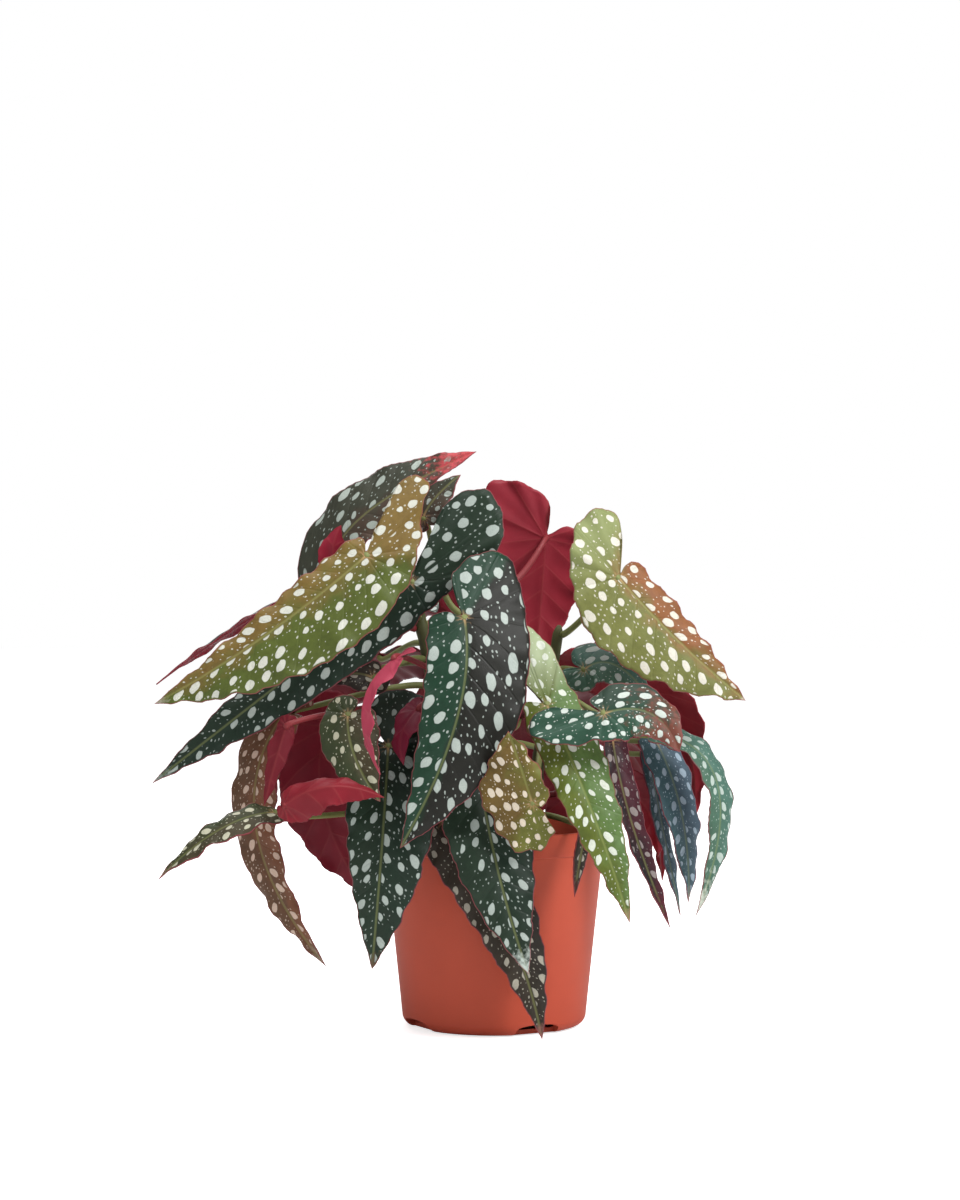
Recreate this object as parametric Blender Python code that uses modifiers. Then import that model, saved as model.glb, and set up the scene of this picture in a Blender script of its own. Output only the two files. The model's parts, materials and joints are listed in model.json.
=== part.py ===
"""Potted polka dot begonia: nursery pot, soil, canes and hanging asymmetric leaves.

Built in metres, +Z up, pot axis on the world Z axis, pot standing on Z = 0.
"""
import math

import bmesh
import bpy
from mathutils import Vector

MM = 0.001

# pot (mm)
POT_HEIGHT = 104.0
RIM_RADIUS = 60.0
RIM_BAND = 12.0
RIM_STEP = 1.3
WALL = 1.8
FLOOR = 2.4
FOOT_RADIUS = 49.0
FOOT_ROUND = 6.0
NOTCH_WIDTH = 25.0
NOTCH_HEIGHT = 5.6
NOTCH_ANGLES = (29.0, 119.0, 209.0, 299.0)
POT_STEPS = 48

# soil (mm)
SOIL_TOP = 90.0
SOIL_MOUND = 3.0
SOIL_GAP = 0.4
CANE_DEPTH = 14.0
CANE_GAP = 0.4

# leaves (mm)
BLADE = 1.1
STATIONS = ((0.12, 1.0), (0.36, 0.96), (0.61, 0.72), (0.84, 0.33))
PETIOLE_TIP = 1.3
PETIOLE_FOOT = 1.8
PETIOLE_GAP = 1.6

# cane: foot x, y; top x, y, z; foot radius; top radius
CANES = {
    "cane_front": ((-4, -12), (-14, -26, 222), 4.0, 2.8),
    "cane_right": ((16, -4), (34, -12, 210), 4.0, 2.8),
    "cane_back": ((4, 14), (4, 26, 240), 4.0, 2.6),
    "cane_left": ((-16, 4), (-46, 0, 252), 4.0, 2.6),
}

# leaf: cane, height where it leaves the cane; attach point, middle and tip of the midrib;
# direction the upper side faces; side of the big lobe (1 right, -1 left of the midrib);
# half widths right, left; big lobe length, shift, half width; small lobe; droop; lobe bend
LEAVES = {
    "leaf_front": ("cane_front", 196, (-15, -80, 216), (-19, -94, 165), (-47, -92, 102),
                   (0.1, -1, 0.2), 1, (32, 20), (36, 17, 20), 6, 0.15, 0.0),
    "leaf_long_dark": ("cane_left", 214, (-42, -50, 233), (-98, -50, 190), (-175, -45, 130),
                       (-0.1, -1, 0.3), 1, (19, 16), (60, -10, 24), 8, 0.15, 0.0),
    "leaf_olive": ("cane_left", 244, (-64, -80, 246), (-116, -87, 205), (-170, -80, 172),
                   (-0.1, -1, 0.3), 1, (30, 13), (50, -12, 12), 6, 0.15, 0.0),
    "leaf_upper_right": ("cane_right", 205, (63, -52, 235), (93, -60, 203), (127, -58, 173),
                         (0.2, -1, 0.3), -1, (14, 30), (38, 12, 20), 5, 0.15, 0.0),
    "leaf_left_tip": ("cane_left", 208, (-95, -30, 229), (-126, -34, 214), (-173, -40, 181),
                      (-0.2, 0.2, 1), 1, (10, 12), (18, 0, 8), 5, 0.2, 0.0),
    "leaf_top_left": ("cane_left", 224, (-82, -6, 234), (-73, -16, 264), (-11, -24, 300),
                      (-0.4, -0.9, 0.4), 1, (24, 14), (22, 0, 15), 6, 0.2, 0.0),
    "leaf_behind_crown": ("cane_front", 216, (-36, -26, 266), (-30, -28, 276), (-17, -28, 288),
                          (-0.4, -1, 0.4), 1, (8, 9), (8, 0, 6), 4, 0.2, 0.0),
    "leaf_red_back": ("cane_back", 230, (28, 46, 256), (25, 50, 216), (22, 46, 184),
                      (0, 1, 0.1), 1, (36, 20), (31, 22, 21), 9, 0.15, 0.0),
    "leaf_red_right": ("cane_right", 182, (52, 14, 190), (96, 24, 165), (108, 18, 108),
                       (0.6, 0.8, 0.5), 1, (22, 20), (20, 0, 14), 8, 0.15, 0.0),
    "leaf_red_low_right": ("cane_right", 120, (66, 0, 128), (82, 4, 110), (86, 2, 88),
                           (0.3, 1, 0.2), 1, (11, 11), (12, 0, 8), 3, 0.1, 0.0),
    "leaf_arching_right": ("cane_right", 176, (54, -95, 169), (77, -97, 169), (91, -100, 150),
                           (-0.1, -1, 0.6), -1, (15, 16), (38, 6, 13), 6, 0.15, 0.0),
    "leaf_bright": ("cane_right", 164, (26, -72, 172), (48, -94, 120), (67, -90, 64),
                    (0.1, -1, 0.3), 1, (17, 14), (42, 0, 14), 6, 0.15, 12.0),
    "leaf_teal_back": ("cane_right", 186, (46, -34, 188), (62, -38, 190), (80, -40, 172),
                       (0.1, -0.8, 0.7), -1, (15, 13), (14, 2, 10), 6, 0.15, 0.0),
    "leaf_blue": ("cane_right", 150, (84, -20, 150), (97, -26, 112), (101, -20, 66),
                  (0.6, -0.8, 0.2), 1, (13, 12), (14, 0, 9), 5, 0.1, 0.0),
    "leaf_arc_right": ("cane_right", 160, (84, -38, 156), (115, -44, 128), (104, -42, 62),
                       (0.5, -0.6, 0.7), 1, (10, 9), (14, 0, 9), 4, 0.1, 0.0),
    "leaf_teal_strip": ("cane_right", 140, (80, -8, 142), (88, -12, 100), (97, -8, 58),
                        (0.9, -0.6, 0.1), 1, (8, 8), (12, 0, 7), 5, 0.1, 0.0),
    "leaf_maroon": ("cane_right", 152, (60, -42, 152), (70, -50, 108), (90, -40, 55),
                    (0.5, -0.9, 0.2), 1, (9, 6), (14, 0, 10), 5, 0.1, 0.0),
    "leaf_ruffled": ("cane_right", 146, (18, -96, 124), (12, -99, 143), (6, -101, 160),
                     (-0.2, -1, 0.2), 1, (24, 9), (24, 5, 15), 7, 0.1, 0.0),
    "leaf_hanging_left": ("cane_left", 150, (-54, -58, 150), (-57, -76, 96), (-62, -68, 38),
                          (-0.1, -1, 0.2), 1, (26, 20), (33, 4, 20), 7, 0.12, 0.0),
    "leaf_left_small": ("cane_left", 160, (-74, -64, 166), (-70, -76, 146), (-57, -84, 124),
                        (-0.2, -1, 0.3), -1, (15, 15), (12, -2, 10), 5, 0.12, 0.0),
    "leaf_red_curl": ("cane_left", 128, (-104, -84, 122), (-81, -92, 132), (-54, -97, 127),
                      (-0.2, 0.8, -0.6), 1, (11, 9), (6, 0, 5), 2, -0.7, 0.0),
    "leaf_red_hanging": ("cane_left", 158, (-88, -8, 156), (-90, -14, 116), (-68, -16, 70),
                         (0.1, 1, 0.1), 1, (22, 25), (20, 0, 15), 6, 0.1, 0.0),
    "leaf_dark_fold": ("cane_left", 192, (-62, -38, 184), (-74, -42, 186), (-86, -44, 180),
                       (-0.2, -1, 0.4), 1, (9, 9), (10, 0, 7), 4, 0.15, 0.0),
    "leaf_far_left": ("cane_left", 178, (-108, -34, 166), (-122, -41, 106), (-86, -44, 36),
                      (-0.5, -0.9, 0.2), -1, (13, 14), (16, 4, 13), 5, 0.1, 0.0),
    "leaf_crimson_fold": ("cane_left", 168, (-105, -58, 160), (-111, -60, 140), (-116, -62, 120),
                          (0.2, 1, 0), 1, (6, 5), (6, 0, 5), 3, -0.7, 0.0),
    "leaf_left_low_tip": ("cane_left", 114, (-111, -59, 117), (-138, -70, 109), (-169, -66, 84),
                          (-0.2, -0.6, 0.8), 1, (10, 9), (12, 0, 8), 4, 0.15, 0.0),
    "leaf_pink_curl": ("cane_front", 176, (-50, -84, 194), (-65, -92, 170), (-56, -96, 138),
                       (0.9, 0.3, 0), 1, (9, 9), (12, 0, 8), 4, -0.5, 0.0),
    "leaf_crimson_inner": ("cane_front", 160, (-38, -60, 168), (-46, -68, 156), (-45, -70, 141),
                           (0.6, 0.8, 0), 1, (8, 8), (10, 0, 7), 4, 0.1, 0.0),
    "leaf_hanging_middle": ("cane_front", 138, (-8, -66, 138), (2, -84, 88), (17, -87, 38),
                            (0.1, -1, 0.2), -1, (22, 22), (16, 0, 13), 6, 0.1, 0.0),
    "leaf_lowest": ("cane_front", 128, (-26, -64, 112), (6, -70, 60), (24, -73, 3),
                    (0.1, -1, 0.1), 1, (20, 17), (12, 0, 10), 5, 0.1, 0.0),
    "leaf_withered": ("cane_right", 110, (46, -62, 108), (42, -66, 90), (40, -66, 74),
                      (0.4, -1, 0), 1, (4, 4), (6, 0, 4), 3, 0.1, 0.0),
    "leaf_back_high": ("cane_back", 226, (-34, 64, 222), (-58, 88, 214), (-84, 104, 172),
                       (-0.4, 0.6, 0.8), 1, (24, 22), (24, 2, 15), 8, 0.15, 0.0),
    "leaf_back_right": ("cane_back", 180, (50, 68, 176), (72, 92, 160), (88, 100, 114),
                        (0.4, 0.7, 0.7), -1, (22, 22), (20, -2, 14), 8, 0.15, 0.0),
    "leaf_back_middle": ("cane_back", 150, (14, 84, 156), (16, 108, 130), (12, 112, 76),
                         (0, 1, 0.4), 1, (25, 24), (24, 4, 15), 8, 0.15, 0.0),
    "leaf_back_left": ("cane_left", 200, (-62, 52, 192), (-96, 80, 168), (-112, 88, 108),
                       (-0.5, 0.8, 0.4), -1, (24, 25), (34, -4, 15), 8, 0.15, 0.0),
    "leaf_back_low": ("cane_back", 150, (-30, 66, 156), (-43, 84, 108), (-46, 82, 50),
                      (-0.3, 1, 0.2), 1, (23, 22), (28, 2, 18), 7, 0.12, 0.0),
    "leaf_back_low_right": ("cane_back", 146, (38, 64, 140), (46, 84, 102), (42, 86, 50),
                            (0.4, 1, 0.2), -1, (19, 19), (20, -2, 13), 7, 0.12, 0.0),
    "leaf_side_left": ("cane_left", 190, (-84, 22, 184), (-114, 28, 150), (-122, 30, 90),
                       (-0.9, 0.2, 0.4), 1, (20, 18), (28, 4, 14), 7, 0.12, 0.0),
    "leaf_side_right": ("cane_right", 158, (62, 34, 150), (84, 46, 124), (92, 50, 70),
                        (0.8, 0.5, 0.3), 1, (18, 17), (22, 4, 13), 7, 0.12, 0.0),
    "leaf_crown_red": ("cane_left", 236, (-80, -42, 238), (-82, -45, 250), (-78, -45, 262),
                       (0, 1, 0.1), 1, (8, 8), (6, 0, 5), 3, 0.2, 0.0),
    "leaf_inner_left": ("cane_left", 210, (-17, 31, 212), (-20, 34, 172), (-17, 31, 124),
                        (0, 1, 0.1), 1, (15, 16), (18, 2, 13), 7, 0.12, 0.0),
}

# leaf tones: base colour and the leaves that carry it; every other leaf is dark green
TONES = {
    "leaf_olive": ((0.20, 0.23, 0.05), ("leaf_olive", "leaf_upper_right", "leaf_ruffled")),
    "leaf_bright": ((0.13, 0.24, 0.06), ("leaf_bright",)),
    "leaf_brown": ((0.14, 0.08, 0.04), ("leaf_far_left", "leaf_left_small", "leaf_left_low_tip",
                                        "leaf_dark_fold", "leaf_withered")),
    "leaf_red": ((0.30, 0.03, 0.05), ("leaf_left_tip", "leaf_red_back", "leaf_red_right",
                                      "leaf_red_low_right", "leaf_red_curl", "leaf_red_hanging",
                                      "leaf_crimson_fold", "leaf_crimson_inner", "leaf_pink_curl",
                                      "leaf_maroon", "leaf_crown_red")),
    "leaf_blue": ((0.10, 0.17, 0.20), ("leaf_blue", "leaf_teal_strip", "leaf_arc_right",
                                       "leaf_teal_back")),
}
DARK_GREEN = (0.03, 0.09, 0.05)


def clear_scene():
    for ob in list(bpy.data.objects):
        bpy.data.objects.remove(ob, do_unlink=True)


def new_collection(name):
    col = bpy.data.collections.new(name)
    bpy.context.scene.collection.children.link(col)
    return col


def material(name, colour, roughness):
    mat = bpy.data.materials.new(name)
    mat.use_nodes = True
    shader = mat.node_tree.nodes["Principled BSDF"]
    shader.inputs["Base Color"].default_value = (*colour, 1.0)
    shader.inputs["Roughness"].default_value = roughness
    return mat


def put(ob, col, mat=None):
    col.objects.link(ob)
    if mat:
        ob.data.materials.append(mat)
    return ob


def as_cutter(ob):
    ob.hide_render = True
    ob.display_type = "WIRE"
    return ob


def mesh_object(name, points, faces):
    mesh = bpy.data.meshes.new(name)
    mesh.from_pydata([tuple(Vector(p) * MM) for p in points], [], faces)
    mesh.update()
    return bpy.data.objects.new(name, mesh)


def spin_object(name, profile, steps):
    """Closed ring or solid from an outer-side profile listed from the top down."""
    mesh = bpy.data.meshes.new(name)
    pts = [(r * MM, 0.0, z * MM) for r, z in profile]
    mesh.from_pydata(pts, [(i, i + 1) for i in range(len(pts) - 1)], [])
    ob = bpy.data.objects.new(name, mesh)
    mod = ob.modifiers.new("turn", "SCREW")
    mod.steps = mod.render_steps = steps
    mod.use_merge_vertices = True
    mod.merge_threshold = 0.0001
    return ob


def boolean(ob, other, operation, name):
    mod = ob.modifiers.new(name, "BOOLEAN")
    mod.operation = operation
    mod.solver = "EXACT"
    mod.object = other


def face_outwards(ob):
    bm = bmesh.new()
    bm.from_mesh(ob.data)
    bmesh.ops.triangulate(bm, faces=bm.faces)
    bmesh.ops.recalc_face_normals(bm, faces=bm.faces)
    bm.to_mesh(ob.data)
    bm.free()
    return ob


def tube(name, points, radii, sides=6):
    """Round rod along hand-placed points, closed by flat ends."""
    pts = [Vector(p) for p in points]
    last = len(pts) - 1
    verts, faces = [], []
    across = None
    for i, p in enumerate(pts):
        along = (pts[min(i + 1, last)] - pts[max(i - 1, 0)]).normalized()
        seed = across or (Vector((1, 0, 0)) if abs(along.x) < 0.8 else Vector((0, 1, 0)))
        across = (seed - along * seed.dot(along)).normalized()
        other = along.cross(across)
        for k in range(sides):
            angle = 2 * math.pi * k / sides
            verts.append(p + (across * math.cos(angle) + other * math.sin(angle)) * radii[i])
    for i in range(last):
        a, b = i * sides, (i + 1) * sides
        faces += [(a + k, a + (k + 1) % sides, b + (k + 1) % sides, b + k)
                  for k in range(sides)]
    faces += [tuple(reversed(range(sides))),
              tuple(range(last * sides, (last + 1) * sides))]
    return face_outwards(mesh_object(name, verts, faces))


def outline(length, side, widths, lobe, small):
    """Flat edge about the attach point: half widths at each station, then the back edge."""
    right, left = widths
    big, shift, half = lobe
    wide, narrow = (right, left) if side > 0 else (left, right)
    notch = (1.25 * half - shift * side) / big + 0.35
    small = min(small, 0.5 * narrow / notch)
    stations = [(k * length, w * right, w * left) for k, w in STATIONS]
    back = [
        (-0.30 * big, (0.72 * wide + 0.18 * half) * side + 0.3 * shift),
        (-0.72 * big, 0.92 * half * side + 0.72 * shift),
        (-0.97 * big, 0.45 * half * side + shift),
        (-0.97 * big, -0.30 * half * side + shift),
        (-0.70 * big, -0.70 * half * side + 0.7 * shift),
        (-0.32 * big, -0.40 * half * side + 0.32 * shift),
        (-2.2, -2.2 * notch * side),
        (-0.8 * small, -0.50 * narrow * side),
        (-0.4 * small, -0.88 * narrow * side),
    ]
    return stations, back if side > 0 else back[::-1]


class Bend:
    """Carries flat leaf coordinates onto the midrib curve through three points."""

    def __init__(self, attach, middle, tip, face, droop, lobe_bend, big):
        self.a = Vector(attach)
        mid, end = Vector(middle), Vector(tip)
        self.c = 2.0 * mid - 0.5 * (self.a + end)
        self.t = end
        self.face = Vector(face).normalized()
        self.droop, self.lobe_bend, self.big = droop, lobe_bend, big
        steps = 24
        last, self.table = self.a, [(0.0, 0.0)]
        for i in range(1, steps + 1):
            here = self.at(i / steps)
            self.table.append((i / steps, self.table[-1][1] + (here - last).length))
            last = here
        self.length = self.table[-1][1]

    def at(self, k):
        return self.a * (1 - k) ** 2 + self.c * 2 * k * (1 - k) + self.t * k * k

    def frame(self, k):
        along = ((self.c - self.a) * (1 - k) + (self.t - self.c) * k).normalized()
        up = (self.face - along * self.face.dot(along)).normalized()
        return along, up, up.cross(along)

    def share(self, u):
        for (k0, s0), (k1, s1) in zip(self.table, self.table[1:]):
            if u <= s1:
                return k0 + (k1 - k0) * (u - s0) / (s1 - s0)
        return 1.0

    def point(self, u, v, lift=0.0):
        k = self.share(max(u, 0.0))
        along, up, right = self.frame(k)
        sag = -self.droop * abs(v) ** 1.5 / 5.0
        base = self.at(k)
        if u < 0.0:
            base = base + along * u
            sag += self.lobe_bend * (u / self.big) ** 2
        return base + right * v + up * (sag + lift)


def blade(name, bend, stations, back):
    """Thin closed blade: rows across the leaf up to the tip, a fan behind the attach point."""
    flat, faces = [], []
    for u, right, left in stations:
        flat += [(u, right), (u, right / 2), (u, 0.0), (u, -left / 2), (u, -left)]
    tip = len(flat)
    flat += [(bend.length, 0.0), (0.0, 0.0)]
    for i in range(len(stations) - 1):
        for k in range(4):
            a, b = 5 * i + k, 5 * (i + 1) + k
            faces += [(a, b, b + 1), (a, b + 1, a + 1)]
    top = tip - 5
    faces += [(top + k, tip, top + k + 1) for k in range(4)]
    heart = tip + 1
    faces += [(heart, 1, 2), (heart, 2, 3)]
    outer, inner = [0], [1]
    for u, v in back:
        inner.append(len(flat))
        outer.append(len(flat) + 1)
        flat += [(0.5 * u, 0.5 * v), (u, v)]
    outer.append(4)
    inner.append(3)
    for i in range(len(outer) - 1):
        faces += [(heart, inner[i + 1], inner[i]),
                  (inner[i], inner[i + 1], outer[i + 1]), (inner[i], outer[i + 1], outer[i])]
    edge = outer + [5 * i + 4 for i in range(1, len(stations))] + [tip]
    edge += [5 * i for i in range(len(stations) - 1, 0, -1)]
    count = len(flat)
    points = [bend.point(u, v, BLADE / 2) for u, v in flat]
    points += [bend.point(u, v, -BLADE / 2) for u, v in flat]
    faces += [tuple(count + q for q in reversed(f)) for f in faces]
    for a, b in zip(edge, edge[1:] + edge[:1]):
        faces += [(a, count + a, count + b), (a, count + b, b)]
    return mesh_object(name, points, faces)


def cane_at(name, height):
    foot, top, r0, r1 = CANES[name]
    start, end = Vector((*foot, SOIL_TOP)), Vector(top)
    k = (height - start.z) / (end.z - start.z)
    bow = math.sin(math.pi * k) * 2.0
    p = start.lerp(end, k) + Vector((0.0, bow * 0.5, 0.0))
    return p, r0 + (r1 - r0) * k


def petiole(name, spec, bend):
    cane, height = spec[0], spec[1]
    along, up, right = bend.frame(0.0)
    start = bend.a + up * (BLADE / 2 + 0.4)
    target, radius = cane_at(cane, height)
    out = bend.a - target
    out.z = 0.0
    out = out.normalized()
    end = target + out * (radius + PETIOLE_GAP)
    reach = (end - start).length
    p1 = bend.a - up * min(9.0, reach * 0.3) - along * 3.0
    p2 = end + out * min(14.0, reach * 0.35) + Vector((0, 0, 4))
    points = [start]
    for i in range(1, 5):
        k = i / 4
        q = (bend.a * (1 - k) ** 3 + p1 * 3 * k * (1 - k) ** 2
             + p2 * 3 * k * k * (1 - k) + end * k ** 3)
        points.append(q)
    radii = [PETIOLE_TIP + (PETIOLE_FOOT - PETIOLE_TIP) * i / 4 for i in range(5)]
    return tube(name, points, radii)


def build_leaf(name, spec, mat, col, cutters):
    attach, middle, tip, face, side, widths, lobe, small, droop, bend_by = spec[2:]
    bend = Bend(attach, middle, tip, face, droop, bend_by, lobe[0])
    ob = face_outwards(blade(name, bend, *outline(bend.length, side, widths, lobe, small)))
    put(ob, col, mat)
    stalk = as_cutter(put(petiole(name + "_petiole", spec, bend), cutters, mat))
    boolean(ob, stalk, "UNION", "petiole")
    return ob


def build_pot(col, cutters, mat):
    slope = (RIM_RADIUS - FOOT_RADIUS) / (POT_HEIGHT - FOOT_ROUND)
    under = POT_HEIGHT - RIM_BAND
    wall_top = RIM_RADIUS - RIM_STEP - slope * RIM_BAND
    bottom = FOOT_RADIUS - RIM_STEP * 0.5
    profile = [
        (RIM_RADIUS - WALL - RIM_STEP, POT_HEIGHT),
        (RIM_RADIUS - 0.8, POT_HEIGHT),
        (RIM_RADIUS, POT_HEIGHT - 0.8),
        (RIM_RADIUS - slope * (RIM_BAND - 1), under + 0.8),
        (wall_top, under),
        (bottom, FOOT_ROUND),
        (bottom - FOOT_ROUND * 0.3, FOOT_ROUND * 0.32),
        (bottom - FOOT_ROUND, 0.0),
        (0.0, 0.0),
    ]
    inner = [
        (0.0, FLOOR),
        (bottom - FOOT_ROUND - 0.6, FLOOR),
        (bottom - WALL - 0.6, FOOT_ROUND + 0.8),
    ]
    pot = spin_object("pot", profile + inner + [profile[0]], POT_STEPS)
    put(pot, col, mat)
    for i, angle in enumerate(NOTCH_ANGLES):
        arch = [(NOTCH_WIDTH / 2 * x, NOTCH_HEIGHT * z) for x, z in
                ((-1.0, -0.4), (1.0, -0.4), (1.0, 0.45), (0.86, 0.82), (0.6, 1.0),
                 (-0.6, 1.0), (-0.86, 0.82), (-1.0, 0.45))]
        n = len(arch)
        near, far = bottom - FOOT_ROUND - 2.0, bottom + 6.0
        pts = [(x, -d, z) for d in (near, far) for x, z in arch]
        faces = [tuple(range(n)), tuple(range(2 * n - 1, n - 1, -1))]
        faces += [(k, n + k, n + (k + 1) % n, (k + 1) % n) for k in range(n)]
        cut = face_outwards(mesh_object(f"notch_{i}", pts, faces))
        cut.rotation_euler.z = math.radians(angle)
        as_cutter(put(cut, cutters))
        boolean(pot, cut, "DIFFERENCE", f"notch_{i}")
    return pot


def build_soil(col, cutters, mat):
    slope = (RIM_RADIUS - FOOT_RADIUS) / (POT_HEIGHT - FOOT_ROUND)
    low = FOOT_ROUND + 3.0
    foot = FOOT_RADIUS - RIM_STEP * 0.5 - WALL - 0.6
    wide = foot + slope * 0.93 * (SOIL_TOP - FOOT_ROUND) - SOIL_GAP - 0.8
    profile = [
        (0.0, SOIL_TOP + SOIL_MOUND),
        (wide * 0.4, SOIL_TOP + SOIL_MOUND * 0.8),
        (wide * 0.8, SOIL_TOP + SOIL_MOUND * 0.2),
        (wide, SOIL_TOP - 1.0),
        (foot - SOIL_GAP - 0.4, low),
        (foot - 7.5, FLOOR + SOIL_GAP),
        (0.0, FLOOR + SOIL_GAP),
    ]
    soil = put(spin_object("soil", profile, POT_STEPS), col, mat)
    for name, (foot_xy, top, r0, r1) in CANES.items():
        p, r = cane_at(name, SOIL_TOP)
        hole = tube(name + "_hole", [p - Vector((0, 0, CANE_DEPTH + CANE_GAP)),
                                     p + Vector((0, 0, 10))], [r0 + CANE_GAP] * 2, 12)
        as_cutter(put(hole, cutters))
        boolean(soil, hole, "DIFFERENCE", name)
    return soil


def build_cane(name, col, mat):
    foot, top, r0, r1 = CANES[name]
    p, _ = cane_at(name, SOIL_TOP)
    points, radii = [p - Vector((0, 0, CANE_DEPTH)), p + Vector((0, 0, 5))], [r0, r0]
    joints = 5
    for i in range(1, joints + 1):
        height = SOIL_TOP + 5 + (top[2] - SOIL_TOP - 5) * i / joints
        q, r = cane_at(name, height)
        points.append(q)
        radii.append(r)
    return put(tube(name, points, radii, 12), col, mat)


def main():
    clear_scene()
    col = new_collection("potted_polka_dot_begonia")
    cutters = new_collection("cutters")
    build_pot(col, cutters, material("terracotta_plastic", (0.50, 0.11, 0.055), 0.5))
    build_soil(col, cutters, material("soil", (0.035, 0.022, 0.014), 0.95))
    for name in CANES:
        build_cane(name, col, material(name, (0.16, 0.20, 0.07), 0.5))
    for name, spec in LEAVES.items():
        slot, colour = "leaf_dark", DARK_GREEN
        for tone, (shade, members) in TONES.items():
            if name in members:
                slot, colour = tone, shade
        build_leaf(name, spec, material(slot + "_of_" + name, colour, 0.4), col, cutters)


main()
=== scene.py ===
import json
import math
import random

import bmesh
import bpy
import numpy as np
from bpy.props import FloatProperty, FloatVectorProperty, IntProperty, PointerProperty
from bpy.types import Operator, Panel, PropertyGroup
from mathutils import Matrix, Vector, noise


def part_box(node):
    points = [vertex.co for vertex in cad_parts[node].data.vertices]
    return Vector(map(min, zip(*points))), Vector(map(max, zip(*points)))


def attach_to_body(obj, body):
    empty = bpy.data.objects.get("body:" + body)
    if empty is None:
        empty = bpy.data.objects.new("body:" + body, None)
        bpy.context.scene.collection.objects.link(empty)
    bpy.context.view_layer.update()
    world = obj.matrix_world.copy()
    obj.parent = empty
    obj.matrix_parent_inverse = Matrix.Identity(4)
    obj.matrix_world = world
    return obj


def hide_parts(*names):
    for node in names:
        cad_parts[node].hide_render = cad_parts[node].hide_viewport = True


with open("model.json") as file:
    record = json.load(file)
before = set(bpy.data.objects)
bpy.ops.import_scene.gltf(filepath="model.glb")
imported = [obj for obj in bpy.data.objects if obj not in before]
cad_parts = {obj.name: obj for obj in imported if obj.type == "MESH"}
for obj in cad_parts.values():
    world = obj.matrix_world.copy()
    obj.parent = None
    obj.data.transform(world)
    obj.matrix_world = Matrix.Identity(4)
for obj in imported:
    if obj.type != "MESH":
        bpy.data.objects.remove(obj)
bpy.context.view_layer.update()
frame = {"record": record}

bl_info = {
    "name": "Potted polka dot begonia",
    "version": (1, 0, 0),
    "blender": (4, 5, 0),
    "location": "3D View > Sidebar > Begonia",
    "description": "Grows a polka dot begonia in a nursery pot on the packed frame",
    "category": "Object",
}

MM = 0.001
SOIL_LINE = 90.0
CANE_DEPTH = 14         # how far a cane goes into the soil (mm)
PETIOLE_STEPS = 18
NOTCH_ANGLES = (29, 119, 209, 299)
VEIN_LEAN = 0.85        # how far a side vein runs forward for each step outwards
VEIN_FAN = 0.56         # angle between the veins behind the attach point (radians)
SLOTS = {row["node"]: row["material_slot"] for row in frame["record"]["subparts"]}

# cane: foot x, y at the soil; top x, y, z (mm)
CANES = {
    "cane_front": ((-4, -12), (-14, -26, 222)),
    "cane_right": ((16, -4), (34, -12, 210)),
    "cane_back": ((4, 14), (4, 26, 240)),
    "cane_left": ((-16, 4), (-46, 0, 252)),
}

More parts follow.
